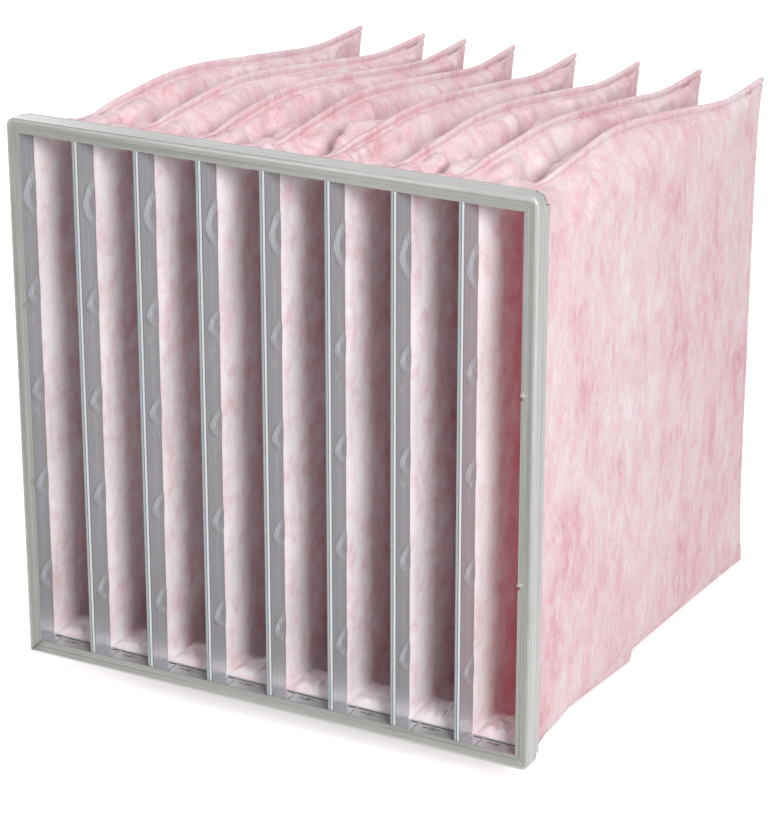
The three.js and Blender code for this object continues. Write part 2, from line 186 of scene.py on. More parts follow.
def strip_faces(stations, size, cut=()):
    """Quads of an open strip whose section is a closed loop of points, without the cut cells."""
    cut = set(cut)
    faces = []
    for i in range(stations - 1):
        for j in range(size):
            if (i, j) not in cut:
                k = (j + 1) % size
                faces.append((i * size + j, (i + 1) * size + j, (i + 1) * size + k, i * size + k))
    return faces


def strip_caps(stations, size):
    """The two end faces of an open strip."""
    last = (stations - 1) * size
    return [tuple(range(size)), tuple(reversed(range(last, last + size)))]


def along(places):
    """Distance run by a line of points."""
    steps = np.linalg.norm(np.diff(np.asarray(places), axis=0), axis=1)
    return np.concatenate([[0.0], np.cumsum(steps)])


# Header frame
def header_section():
    """The header's section as (inset, depth), and its two points where the relief cuts start."""
    front, rear = HEADER_LOW[1], HEADER_HIGH[1]
    turn = [(2 - 2 * math.cos(a), front + 2 - 2 * math.sin(a))
            for a in np.linspace(0, math.pi / 2, 6)]
    flange = [(u, front) for u in np.arange(3.0, FLANGE_WIDTH - 0.8, 0.75)]
    rim = [(FLANGE_WIDTH - 0.25, front + 0.08), (FLANGE_WIDTH, front + 0.4),
           (FLANGE_WIDTH - 0.25, front + HEADER_SHEET - 0.08)]
    outside = [(LIP_REACH, rear), (2.0, rear), (0.6, rear - 0.2), (0.15, rear - 0.8),
               (0, RELIEF_START), (0, 0), (0, -5), *turn, *flange, *rim]
    t = HEADER_SHEET
    inside = [(6.0, front + t), (2.2, front + t), (t, front + 2.2), (t, -5), (t, 0),
              (t, RELIEF_START), (t, rear - t - 0.6), (t + 0.6, rear - t), (LIP_REACH, rear - t)]
    section = outside + inside
    outer = section.index((0, RELIEF_START))
    inner = section.index((t, RELIEF_START))
    return section, outer, inner


def header_stations():
    """Places round the header: (side, kind, value), from the mitre joint and back to it."""
    near = (8.0, RELIEF_REACH, 1.2, 0.0)
    lances = []
    for z in (-LANCE_HEIGHT, LANCE_HEIGHT):
        lances += [z + step for step in (-8, -5, -3.5, -2.2, -1.0, 0.0, 1.0, 2.2, 3.5, 5, 8)]
    stations = []
    for side in range(4):
        if side == 0:
            stations += [(side, "joint", 0.0), (side, "start", 12.0)]
        else:
            stations += [(side, "start", d) for d in reversed(near)]
        middle = lances if side in (1, 3) else [-240, -160, -80, 0, 80, 160, 240]
        stations += [(side, "middle", m) for m in sorted(middle)]
        if side == 3:
            stations += [(side, "end", 12.0), (side, "close", 0.0)]
            break
        stations += [(side, "end", d) for d in near]
        stations += [(side, "corner", a) for a in np.linspace(0, 1, 9)[1:-1]]
    return stations


def header_place(station, inset):
    """Where a station of the header lies at one inset, as (x, z) seen from the front."""
    side, kind, value = station
    half = (HEADER_HIGH[0] - HEADER_LOW[0]) / 2
    bend = max(HEADER_BEND - inset, 0.4)
    reach = half - inset - bend
    if kind == "corner":
        angle = (value - 1) * math.pi / 2
        run, off = reach + bend * math.cos(angle), -(reach + bend * -math.sin(angle))
    else:
        run = {"joint": -(half - inset - 0.25), "close": half - inset - 0.25,
               "start": -reach + value, "end": reach - value, "middle": value}[kind]
        off = -(half - inset)
    turn = side * math.pi / 2
    x = run * math.cos(turn) - off * math.sin(turn)
    z = run * math.sin(turn) + off * math.cos(turn)
    return x, z + (HEADER_LOW[2] + HEADER_HIGH[2]) / 2


def header_relief(station, inset, depth, settings):
    """Small shaped details: rolled bands, corner creases and lanced notches."""
    side, kind, value = station
    front = HEADER_LOW[1]
    if depth > front + HEADER_SHEET + 0.01 or inset < 2.5:
        return 0.0, 0.0
    band, step = settings.band_depth / MM, settings.band_step / MM
    push = band * math.sin(2 * math.pi * inset / 4.1) * smooth((14.5 - inset) / 2)
    push += step * smooth((inset - 5.2) / 1.8) * smooth((15.2 - inset) / 0.6)
    shift = 0.0
    if kind == "corner":
        crease = settings.crease_depth / MM
        push += crease * hump(value, 0.5, 0.16) * smooth((inset - 3) / 3)
    if kind == "middle" and side in (1, 3) and inset > 11:
        local = value - math.copysign(LANCE_HEIGHT, value)
        push -= 2.3 * hump(local, 1.6, 1.9) * smooth((inset - 11.0) / 1.5)
        shift = -3.0 * hump(local, -2.2, 1.2) * smooth((inset - 12) / 2.5)
    return push, shift


def header_geometry(settings):
    """Points, faces and sheet coordinates of the header frame."""
    section, outer, inner = header_section()
    stations = header_stations()
    size = len(section)
    run = along([header_place(s, 0.0) for s in stations])
    across = along(section)
    points, coordinates = [], []
    for station, distance in zip(stations, run):
        for (inset, depth), width in zip(section, across):
            push, shift = header_relief(station, inset, depth, settings)
            x, z = header_place(station, inset + shift)
            points.append((x, depth + push, z))
            coordinates.append((distance, width))
    relieved = relieved_cells(stations, size, outer, inner)
    faces = strip_faces(len(stations), size, relieved) + strip_caps(len(stations), size)
    faces += relief_walls(relieved, size, outer, inner)
    return points, faces, coordinates


def relieved_cells(stations, size, outer, inner):
    """Cells of the web's rear part and the lip that are cut away at the three bent corners."""
    cells = []
    for i in range(len(stations) - 1):
        here, there = stations[i], stations[i + 1]
        bent = "corner" in (here[1], there[1]) or (
            here[1] == there[1] and here[1] in ("start", "end")
            and max(here[2], there[2]) <= RELIEF_REACH)
        if bent:
            cells += [(i, j) for j in range(size) if j < outer or j >= inner]
    return cells


def relief_walls(cells, size, outer, inner):
    """Closes the cut edges of the sheet at the relieved corners."""
    columns = sorted({i for i, _ in cells})
    faces = []
    for i in columns:
        a, b = i * size, (i + 1) * size
        faces.append((a + outer, a + inner, b + inner, b + outer))
        loop = [*range(inner, size), *range(0, outer + 1)]
        if i - 1 not in columns:
            faces.append(tuple(a + j for j in loop))
        if i + 1 not in columns:
            faces.append(tuple(b + j for j in reversed(loop)))
    return faces


# Pocket rings
def ring_section():
    """The ring's channel as (inset, depth behind its nose), and the cells that its slots cut."""
    deep = RING_HIGH[1] - RING_LOW[1]
    nose = RING_FOLD / 2
    slot = (deep - 5.0, deep - 2.4)
    arc = [(nose - nose * math.copysign(abs(math.cos(a)) ** 0.6, math.cos(a)),
            0.9 - 0.9 * math.sin(a) ** 0.6) for a in np.linspace(0, math.pi, 14)]
    leg = [2.5, 4.0, 5.5, 7.0, *np.arange(8.5, 23.5, 1.5), *slot, 27.4, 28.2]
    outside = [(0, deep), (0, 18), (0, 8), *arc, *[(RING_FOLD, v) for v in leg]]
    rim = [(RING_FOLD - 0.06, deep - 0.15), (RING_FOLD - RING_SHEET / 2, deep),
           (RING_FOLD - RING_SHEET + 0.06, deep - 0.15)]
    inner = nose - RING_SHEET
    back = [(RING_FOLD - RING_SHEET, v) for v in reversed(leg)]
    hollow = [(nose - inner * math.cos(a), 1.3 - 0.6 * math.sin(a))
              for a in np.linspace(math.pi, 0, 6)]
    near = [(RING_SHEET, 8), (RING_SHEET, 18), (RING_SHEET, deep)]
    section = outside + rim + back + hollow + near
    upper = section.index((RING_FOLD, slot[0]))
    lower = section.index((RING_FOLD - RING_SHEET, slot[1]))
    return section, upper, lower


def ring_stations():
    """Places round the ring from its joint in the lower run, as (x, z, turn of the run)."""
    half_x, joint = RING_HALF, RING_JOINT
    half_z = (RING_HIGH[2] - RING_LOW[2]) / 2
    flat = [joint + 0.2, joint + 1.5, -8, 0, 8, 16, SLOT_END, half_x - RING_BEND]
    ends = [-half_x + RING_BEND, -SLOT_END, joint - 4, joint - 1.5, joint - 0.2]
    rise = half_z - RING_BEND
    up = list(np.linspace(-rise, rise, 191))
    quarter = np.linspace(0, math.pi / 2, 5)[1:-1]
    stations = [(x, -half_z, 0.0) for x in flat]
    stations += corner_places(half_x, half_z, -math.pi / 2 + quarter)
    stations += [(half_x, z, math.pi / 2) for z in up]
    stations += corner_places(half_x, half_z, quarter)
    top = [half_x - RING_BEND, SLOT_END, 16, 8, 0, -8, joint + 1.5, joint - 1.5,
           -SLOT_END, -half_x + RING_BEND]
    stations += [(x, half_z, math.pi) for x in top]
    stations += corner_places(half_x, half_z, math.pi / 2 + quarter)
    stations += [(-half_x, z, -math.pi / 2) for z in reversed(up)]
    stations += corner_places(half_x, half_z, math.pi + quarter)
    stations += [(x, -half_z, 0.0) for x in ends]
    return stations


def corner_places(half_x, half_z, angles):
    """Places round one bent corner of a ring."""
    places = []
    for angle in angles:
        out_x, out_z = math.cos(angle), math.sin(angle)
        side, up = (1 if out_x > 0 else -1), (1 if out_z > 0 else -1)
        x = side * (half_x - RING_BEND) + RING_BEND * out_x
        z = up * (half_z - RING_BEND) + RING_BEND * out_z
        places.append((x, z, angle + math.pi / 2))
    return places


def crimp(height, depth, settings):
    """Depth of the pressed crimps on an upright leg at one height and depth."""
    total, pressed = 0.0, 0.0
    spacing = settings.crimp_spacing / MM
    for step in range(-(settings.crimps // 2), settings.crimps // 2 + 1):
        length = TOP_CRIMP_LENGTH if step == settings.crimps // 2 else CRIMP_LENGTH
        share = abs(height - step * spacing) / length
        reach = smooth(1.7 * (1 - share))
        crease = 6.0 + 17.0 * min(share, 1.0) ** 1.3
        behind = 1 - 1.8 * smooth((depth - crease - 1.0) / 10.0)
        total += reach * smooth((depth - crease) / 2.2) * behind
        pressed = max(pressed, reach)
    bow = (1 - pressed) * smooth((depth - 10.0) / 17.0)
    return settings.crimp_depth / MM * total - settings.leg_bow / MM * bow


def ring_geometry(settings):
    """Points, faces and sheet coordinates of one pocket ring."""
    section, upper, lower = ring_section()
    stations = ring_stations()
    half_z = (RING_HIGH[2] - RING_LOW[2]) / 2
    middle = (RING_HIGH[2] + RING_LOW[2]) / 2
    size = len(section)
    run = along([(x, z) for x, z, _ in stations])
    across = along(section)
    points, coordinates = [], []
    for (x, z, turn), distance in zip(stations, run):
        upright = abs(math.sin(turn)) > 0.999 and abs(z) < half_z - RING_BEND - 1
        in_x, in_z = -math.sin(turn), math.cos(turn)
        for (inset, depth), width in zip(section, across):
            leg = upright and inset > RING_FOLD - RING_SHEET - 0.01 and depth > 2
            reach = inset - (crimp(z, depth, settings) if leg else 0.0)
            points.append((x + in_x * reach, RING_LOW[1] + depth, middle + z + in_z * reach))
            # The left uprights take the shifted tones, which paint a highlight on their nose.
            highlighted = upright and turn < 0
            coordinates.append((distance, width + (HIGHLIGHT_SHIFT if highlighted else 0.0)))
    slots = slot_cells(stations, half_z)
    cut = [(i, j) for i in slots for j in (upper, lower)]
    faces = strip_faces(len(stations), size, cut) + strip_caps(len(stations), size)
    faces += slot_walls(slots, size, upper, lower)
    return points, faces, coordinates


def slot_cells(stations, half_z):
    """Stations between which the lower and upper legs are slotted."""
    joint = RING_JOINT
    cells = []
    for i in range(len(stations) - 1):
        (x0, z0, _), (x1, z1, _) = stations[i], stations[i + 1]
        flat = abs(z0) == half_z and abs(z1) == half_z
        inside = max(abs(x0), abs(x1)) <= SLOT_END + 0.01
        beside = min(abs(x0 - joint), abs(x1 - joint)) > 1.4
        across = (x0 - joint) * (x1 - joint) < 0
        if flat and inside and beside and not across:
            cells.append(i)
    return cells


def slot_walls(cells, size, upper, lower):
    """The cut edges round each slot."""
    faces = []
    for i in cells:
        a, b = i * size, (i + 1) * size
        faces.append((a + upper, b + upper, b + lower + 1, a + lower + 1))
        faces.append((a + upper + 1, a + lower, b + lower, b + upper + 1))
        if i - 1 not in cells:
            faces.append((a + upper, a + lower + 1, a + lower, a + upper + 1))
        if i + 1 not in cells:
            faces.append((b + upper, b + upper + 1, b + lower, b + lower + 1))
    return faces


def mark_and_slot_shade_geometry():
    """Pressed strokes on the lower run of every ring, and dark boxes under its slots that paint the
    shade inside them.
    """
    level = RING_LOW[2] + RING_FOLD + 0.06
    under = RING_LOW[2] + RING_FOLD - RING_SHEET - 0.15
    strokes = [(-10.5, -3.2, 0.0), (5.0, 8.0, 0.0), (-2.4, 4.0, 0.5), (-2.4, 4.0, -0.5),
               (-0.8, 2.4, 1.3)]
    box = ((0, 1, 2, 3), (7, 6, 5, 4), (0, 4, 5, 1), (1, 5, 6, 2), (2, 6, 7, 3), (3, 7, 4, 0))
    points, faces = [], []
    for number in range(POCKETS):
        middle = pocket_x(number) - 1.0
        for low, high, slope in strokes:
            centre, run = (low + high) / 2, (high - low) / 2
            base = len(points)
            for way, wide in ((-1, 0.3), (-0.8, 0.75), (0.8, 0.75), (1, 0.3)):
                x, y = middle + centre + way * run, RING_LOW[1] + 18.5 + way * run * slope * 1.6
                points += [(x, y - wide, level - 0.05), (x, y, level + 0.08),
                           (x, y + wide, level - 0.05)]
            for a in (base, base + 3, base + 6):
                faces += [(a, a + 3, a + 4, a + 1), (a + 1, a + 4, a + 5, a + 2),
                          (a, a + 2, a + 5, a + 3)]
            faces += [(base, base + 1, base + 2), (base + 9, base + 11, base + 10)]
        # Dark boxes inside the channel under each slot: painted shadow seen through the slot.
        for low, high in slot_runs():
            base = len(points)
            x0, x1 = middle + 1.0 + low, middle + 1.0 + high
            y0, y1 = RING_HIGH[1] - 5.4, RING_HIGH[1] - 2.15
            for z in (under, under - 0.2):
                points += [(x0, y0, z), (x1, y0, z), (x1, y1, z), (x0, y1, z)]
            faces += [tuple(base + k for k in face) for face in box]
    return points, faces


def slot_runs():
    """Stretches of a ring's lower run that are slotted, across from its middle."""
    return [(-SLOT_END, RING_JOINT - 1.5), (RING_JOINT + 1.5, SLOT_END)]


# Bags
def side_layout():
    """Points from one side's bottom seam to its top seam, as part of the bag and share along it."""
    rise = np.linspace(0.0, 1.0, 34)[1:-1]
    return (
        [("keel", s) for s in (0.0, 0.07, 0.2, 0.55, 0.88)]
        + [("floor", s) for s in np.linspace(1, 0, 12)]
        + [("wall", s) for s in smooth(rise) * 0.55 + rise * 0.45]
        + [("roof", s) for s in np.linspace(0, 1, 18)]
        + [("crest", s) for s in (0.12, 0.45, 0.8, 0.93, 1.0)]
    )


def bag_outline(depth, settings, wall):
    """A bag's half width and heights at one depth, drawn in by the thickness of its wall."""
    start, end = BAG_START, BAG_END
    share = np.clip((depth - start) / (end - start), 0, 1)
    bodied = smooth((depth - start) / 60.0)
    taper = np.clip((depth - start - 60.0) / (end - REAR_STRIP - start - 60.0), 0, 1)
    clamped = RING_HALF - RING_SHEET - BAG_CLEARANCE
    mouth = clamped + (PITCH / 2 - BAG_CLEARANCE - clamped) * smooth((depth - start) / 8.0)
    seam = settings.seam_thickness / MM / 2
    sag = smooth((depth - start - 180.0) / (end - start - 180.0))
    half = seam + (mouth - seam) * (1 - taper ** 1.5)
    drop = 11.0 * smooth((depth - start) / 75.0)
    fullness = 0.55 + 0.45 * smooth((depth - start - 30.0) / 130.0)
    top = RING_HIGH[2] - RING_SHEET - BAG_CLEARANCE - drop - 33.0 * sag
    bottom = RING_LOW[2] + RING_SHEET + BAG_CLEARANCE - 20.0 * bodied - 19.0 * share ** 2
    crest = settings.crest_height / MM * smooth((depth - start - 15.0) / 90.0)
    return {
        "bodied": bodied,
        "half": half - wall,
        "top": top - wall * (1 + 1.8 * smooth((depth - start) / 22.0)),
        "bottom": bottom + wall * (1 + bodied),
        "shoulder": (6.0 + 1.25 * (half - wall)) * (0.85 if wall > 0 else 1.0) * fullness,
        "seam": seam,
        "crest": crest if wall <= 0 else 0.0,
        "keel": keel_height(depth) if wall <= 0 else 0.0,
    }


def keel_height(depth):
    """Height of the loose edge under a bag: a long flap at the front, then a narrow seam."""
    flap = FLAP_DROP * (depth - BAG_START) / (FLAP_END - BAG_START)
    step = smooth((depth - FLAP_END) / 5.0)
    return np.clip(flap, 0, FLAP_DROP) * (1 - step) + 8.0 * step


def side_points(outline, layout):
    """Places of one side's points across a bag at one depth, as arrays of x and z."""
    half, top, bottom = outline["half"], outline["top"], outline["bottom"]
    seam, shoulder, bodied = min(outline["seam"], half), outline["shoulder"], outline["bodied"]
    shoulder = min(shoulder, (top - bottom) / 2.2)
    middle_x, middle_z = [], []
    for part, s in layout:
        if part in ("roof", "floor"):
            angle = (1 - s) * math.pi / 2
            bend = 2 / 1.6
            body_x = seam + (half - seam) * math.sin(angle) ** bend
            drop = shoulder * (1 - math.cos(angle) ** bend)
            square_x = seam + (half - seam) * (1 - s)
            end, way = (top, -1) if part == "roof" else (bottom, 1)
            body_z, square_z = end + way * drop, end
        elif part == "wall":
            body_x = square_x = half
            body_z = bottom + shoulder + (top - bottom - 2 * shoulder) * s
            square_z = bottom + (top - bottom) * s
        else:
            high = outline["crest"] if part == "crest" else outline["keel"]
            end = top if part == "crest" else bottom
            rise = s if part == "crest" else 1 - s
            thin = seam * np.interp(rise, SEAM_RISE, SEAM_SHAPE if high > 0 else INNER_SEAM_SHAPE)
            body_x = square_x = thin
            body_z = square_z = end + (high if part == "crest" else -high) * rise
        middle_x.append(square_x + (body_x - square_x) * bodied)
        middle_z.append(square_z + (body_z - square_z) * bodied)
    x, z = np.array(middle_x), np.array(middle_z)
    return rounded(x, z, half, top, bottom, 2.2 * (1 - bodied))


def rounded(x, z, half, top, bottom, radius):
    """Rounds the corners of a section where it is still square, in the ring."""
    if radius <= 0.05:
        return x, z
    middle, reach = (top + bottom) / 2, (top - bottom) / 2
    over_x = x - (half - radius)
    over_z = np.abs(z - middle) - (reach - radius)
    inside = (over_x > 0) & (over_z > 0)
    size = np.where(inside, np.maximum(np.hypot(over_x, over_z), 1e-6), 1.0)
    scale = np.where(inside, np.minimum(1, radius / size), 1.0)
    x = np.where(inside, half - radius + over_x * scale, x)
    z = np.where(inside, middle + np.sign(z - middle) * (reach - radius + over_z * scale), z)
    return x, z


def bag_depths(inner):
    """Depths of a skin's loops from the ring to the rear seam."""
    start, end = BAG_START, BAG_END
    if inner:
        return np.concatenate([
            [RING_HIGH[1] - CLAMP_REACH, start - 1], np.arange(start + 1, start + 90, 4.5),
            np.linspace(start + 92, end - 60, 26),
        ])
    return np.concatenate([
        [RING_HIGH[1] - CLAMP_REACH, start - 1], np.arange(start, start + 110, 3.6),
        np.linspace(start + 114, FLAP_END, 22), [FLAP_END + 1.5, FLAP_END + 4, FLAP_END + 7],
        np.linspace(FLAP_END + 12, end - REAR_STRIP, 50), [end - 8, end - 4, end - 1.2, end],
    ])


def bag_loops(side, settings, inner):
    """One side of a bag's skin: an array of points by depth and by place across."""
    layout = side_layout()
    depths = bag_depths(inner)
    rows = []
    for depth in depths:
        open_up = smooth((depth - BAG_START) / 7.0)
        wall = CLAMPED_WALL + (BAG_WALL - CLAMPED_WALL) * open_up
        outline = bag_outline(depth, settings, wall if inner else 0.0)
        x, z = side_points(outline, layout)
        rows.append(np.stack([side * x, np.full_like(x, depth), z], axis=1))
    return np.array(rows), layout, depths


def pillow(points, layout, depths, number, side, settings):
    """Adds the folds, gathers and unevenness of soft media to one side's outer skin."""
    start, end = BAG_START, BAG_END
    seed = 100 * number + (50 if side > 0 else 0)
    s = (depths - start)[:, None] * np.ones(points.shape[1])
    from_top = distance_from(points, layout, "roof")
    from_bottom = distance_from(points, layout, "floor")
    soft = smooth(s / 26.0) * smooth((end - REAR_STRIP - depths)[:, None] / 26.0)
    on_fin = np.array([part in ("keel", "crest") for part, _ in layout])
    seamed = smooth(from_top / 11.0)
    gathers = puffed(rolling(s, from_top, 34.0, 140.0, seed + 1, 5)) * np.exp(-from_top / 30.0)
    envelope = 0.7 + 0.6 * rolling(s, from_top * 0, 150.0, 100.0, seed + 2)
    pads = rolling(s, from_top, 150.0, 70.0, seed + 3) * np.exp(-((from_top - 26.0) / 40.0) ** 2)
    tuck = puffed(rolling(s + 0.8 * from_top, from_top - 0.2 * s, 120.0, 110.0, seed + 4, 3))
    tuck = tuck * hump(s, 95.0, 75.0) * np.exp(-((from_top - 24.0) / 38.0) ** 2)
    calm = 0.35 if (number, side) in ((0, -1), (POCKETS - 1, 1)) else 1.0
    low = puffed(rolling(s, from_bottom, 46.0, 90.0, seed + 5)) * np.exp(-from_bottom / 40.0)
    wall = rolling(s, points[:, :, 2], 190.0, 230.0, seed + 6) - 1.0
    fine = rolling(s, points[:, :, 2], 58.0, 74.0, seed + 7)
    amount = settings.fold_depth / MM
    swell = 0.5 * np.exp(-from_top / 40.0) + 0.9 * gathers * envelope + 0.5 * pads + 2.6 * tuck
    swell = seamed * amount * calm * swell
    swell = swell + 0.34 * amount * low + 0.9 * wall + 0.28 * fine
    swell = swell + pucker(points, end, depths, seed)
    room = 2.6 - 1.4 * smooth((from_top - 14.0) / 16.0)
    beside = 2.2 + 40.0 * (1 - smooth((from_top - 14.0) / 12.0)) + 6.0 * smooth((s - 70.0) / 120.0)
    inward, swollen = -room * np.tanh(-swell / room), beside * np.tanh(swell / beside)
    swell = np.where(swell < 0, inward, swollen) * soft
    swell[:, on_fin] = 0.0
    return points + outward(points, side) * swell[:, :, None]


def pucker(points, end, depths, seed):
    """Short puckers that run forward from the rear seam."""
    back = (end - REAR_STRIP - depths)[:, None] * np.ones(points.shape[1])
    wave = rolling(points[:, :, 2], back, 24.0, 90.0, seed + 8)
    return 1.2 * wave * np.exp(-np.abs(back - 14) / 26.0)


def distance_from(points, layout, part):
    """Distance across the bag from one of its seams, for every point of a side."""
    index = nearest(layout, part, 1.0)
    steps = np.linalg.norm(np.diff(points, axis=1), axis=2)
    run = np.concatenate([np.zeros((points.shape[0], 1)), np.cumsum(steps, axis=1)], axis=1)
    return np.abs(run - run[:, index][:, None])


def nearest(layout, part, share):
    """Index of the point of one part that lies nearest to a share along it."""
    places = [abs(s - share) if name == part else 9.0 for name, s in layout]
    return int(np.argmin(places))


def outward(points, side):
    """Outward directions of a side's grid of points."""
    by_depth = np.gradient(points, axis=0)
    by_place = np.gradient(points, axis=1)
    normal = np.cross(by_depth, by_place) * side
    length = np.linalg.norm(normal, axis=2)[:, :, None]
    return normal / np.maximum(length, 1e-9)


def cushion(points, layout, depths, number, side):
    """The soft inside: a puffed floor behind the ring, and gentle unevenness of the walls."""
    start = BAG_START
    seed = 900 + 10 * number + (5 if side > 0 else 0)
    s = (depths - start)[:, None] * np.ones(points.shape[1])
    shares = np.array([s if part == "floor" else float(part == "keel") for part, s in layout])
    floor = smooth(shares * 3.2)[None, :]
    fine = puffed(rolling(s, points[:, :, 0] * side, 26.0, 22.0, seed))
    level = RING_LOW[2] + RING_FOLD + 1.0 + 5.0 * np.sqrt(shares)[None, :] + 2.4 * fine
    kept = smooth(s / 10.0) * (1 - smooth((s - 42.0) / 30.0))
    rise = floor * kept * np.maximum(level - points[:, :, 2], 0.0)
    uneven = 1.1 * rolling(s, points[:, :, 2], 120.0, 150.0, seed + 1) * (1 - floor)
    soft = smooth(s / 14.0)
    moved = points.copy()
    moved[:, :, 2] += rise
    aside = smooth(np.abs(points[:, :, 0]) / 10.0)
    moved[:, :, 0] -= side * (uneven + 1.3) * soft * (1 - floor) * aside
    return moved


def swayed(points, number, seed):
    """Moves a bag's loops aside towards the rear, and lets its rear edge and top seam wander."""
    start, end = BAG_START, BAG_END
    y, z = points[:, :, 1], points[:, :, 2]
    share = np.clip((y - start) / (end - start), 0, 1)
    top, bottom = z.max(axis=1, keepdims=True), z.min(axis=1, keepdims=True)
    level = np.clip(np.abs(2 * z - top - bottom) / (top - bottom), 0, 1)
    rng = np.random.RandomState(seed)
    phase, size = rng.uniform(0, 6.3), rng.uniform(2.0, 5.0)
    wander = size * np.sin(share * 7.5 + phase) * smooth(share * 6) * smooth((1 - share) * 3)
    upper = np.clip((2 * z - top - bottom) / (top - bottom), 0, 1) ** 6
    arch = 8.0 * hump(share, 0.36, 0.2) - 4.5 * hump(share, 0.83, 0.11)
    moved = points.copy()
    moved[:, :, 2] += arch * upper
    moved[:, :, 0] += REAR_SWAY[number % len(REAR_SWAY)] * share ** 2 + wander * upper
    moved[:, :, 1] -= 15.0 * (1 - level ** 8) * share ** 2
    return moved


def bag_geometry(number, settings):
    """Points and faces of one bag: outer skin, inner skin and the rims that join them."""
    skins = []
    for inner in (False, True):
        sides = []
        for side in (1, -1):
            points, layout, depths = bag_loops(side, settings, inner)
            if inner:
                points = cushion(points, layout, depths, number, side)
            else:
                points = pillow(points, layout, depths, number, side, settings)
            sides.append(points)
        loops = np.concatenate([sides[0], sides[1][:, ::-1]], axis=1)
        skins.append(swayed(loops, number, 40 + number))
    size = skins[0].shape[1]
    outer_count, inner_count = skins[0].shape[0], skins[1].shape[0]
    points = np.concatenate([skins[0].reshape(-1, 3), skins[1].reshape(-1, 3)])
    points[:, 0] += pocket_x(number)
    first_inner = outer_count * size
    faces = strip_faces(outer_count, size)
    faces += ladder((outer_count - 1) * size, size, False)
    inner_from = len(faces)
    faces += [tuple(first_inner + k for k in reversed(face))
              for face in strip_faces(inner_count, size)]
    faces += ladder(first_inner + (inner_count - 1) * size, size, True)
    for j in range(size):
        k = (j + 1) % size
        faces.append((first_inner + j, j, k, first_inner + k))
    return points, faces, inner_from, skins[0]


def ladder(start, size, turned):
    """Closes a flat loop with rungs from its one side to its other."""
    faces = []
    for i in range(size // 2 - 1):
        a, b = start + i, start + i + 1
        c, d = start + size - 2 - i, start + size - 1 - i
        faces.append((a, d, c, b) if turned else (a, b, c, d))
    return faces


# Stitching
def stitch_row(line, normals, spacing, length, thickness):
    """Short thread stitches along a line of points, as points and faces."""
    run = along(line)
    centres = np.arange(spacing, run[-1] - spacing, spacing)
    points, faces = [], []
    for centre in centres:
        ends = [np.array([np.interp(d, run, line[:, k]) for k in range(3)])
                for d in (centre - length / 2, centre + length / 2)]
        out = np.array([np.interp(centre, run, normals[:, k]) for k in range(3)])
        way = (ends[1] - ends[0]) / max(np.linalg.norm(ends[1] - ends[0]), 1e-9)
        cross = np.cross(way, out)
        middle = (ends[0] + ends[1]) / 2
        base = len(points)
        points += [ends[0], ends[1], middle + out * thickness, middle + cross * thickness,
                   middle - out * thickness, middle - cross * thickness]
        for i in range(4):
            a, b = base + 2 + i, base + 2 + (i + 1) % 4
            faces += [(base, b, a), (base + 1, a, b)]
    return points, faces


def bag_stitches(number, skin, settings):
    """The thread along the top, rear and bottom seams of one bag, on both of its sides."""
    layout = side_layout()
    half = len(layout)
    crest = nearest(layout, "crest", STITCHED_SHARE)
    keel = nearest(layout, "keel", 1 - STITCHED_SHARE)
    shift = np.array([pocket_x(number), 0, 0])
    rear = [i for i, depth in enumerate(bag_depths(False)) if depth >= BAG_END - 8][0]
    sewn = slice(FIRST_STITCHED_LOOP, rear + 1)
    points, faces = [], []
    for side in (1, -1):
        pick = (lambda j: j) if side > 0 else (lambda j: 2 * half - 1 - j)
        lines = [skin[sewn, pick(crest)], skin[sewn, pick(keel)],
                 skin[rear, [pick(j) for j in range(keel, crest + 1)]]]
        for line in lines:
            out = np.tile(np.array([float(side), 0, 0.1]), (len(line), 1))
            row, row_faces = stitch_row(
                line + shift + out * 0.35, out, settings.stitch_spacing / MM,
                settings.stitch_spacing / MM * 0.62, settings.thread_thickness / MM / 2)
            faces += [tuple(len(points) + k for k in face) for face in row_faces]
            points += row
    return points, faces


# Materials
def node_group(name, inputs, outputs):
    """A new shader node group with its sockets and end nodes."""
    group = bpy.data.node_groups.new(name, "ShaderNodeTree")
    for label, kind, default in inputs:
        socket = group.interface.new_socket(name=label, in_out="INPUT", socket_type=kind)
        if default is not None:
            socket.default_value = default
    for label, kind in outputs:
        group.interface.new_socket(name=label, in_out="OUTPUT", socket_type=kind)
    return group, group.nodes.new("NodeGroupInput"), group.nodes.new("NodeGroupOutput")


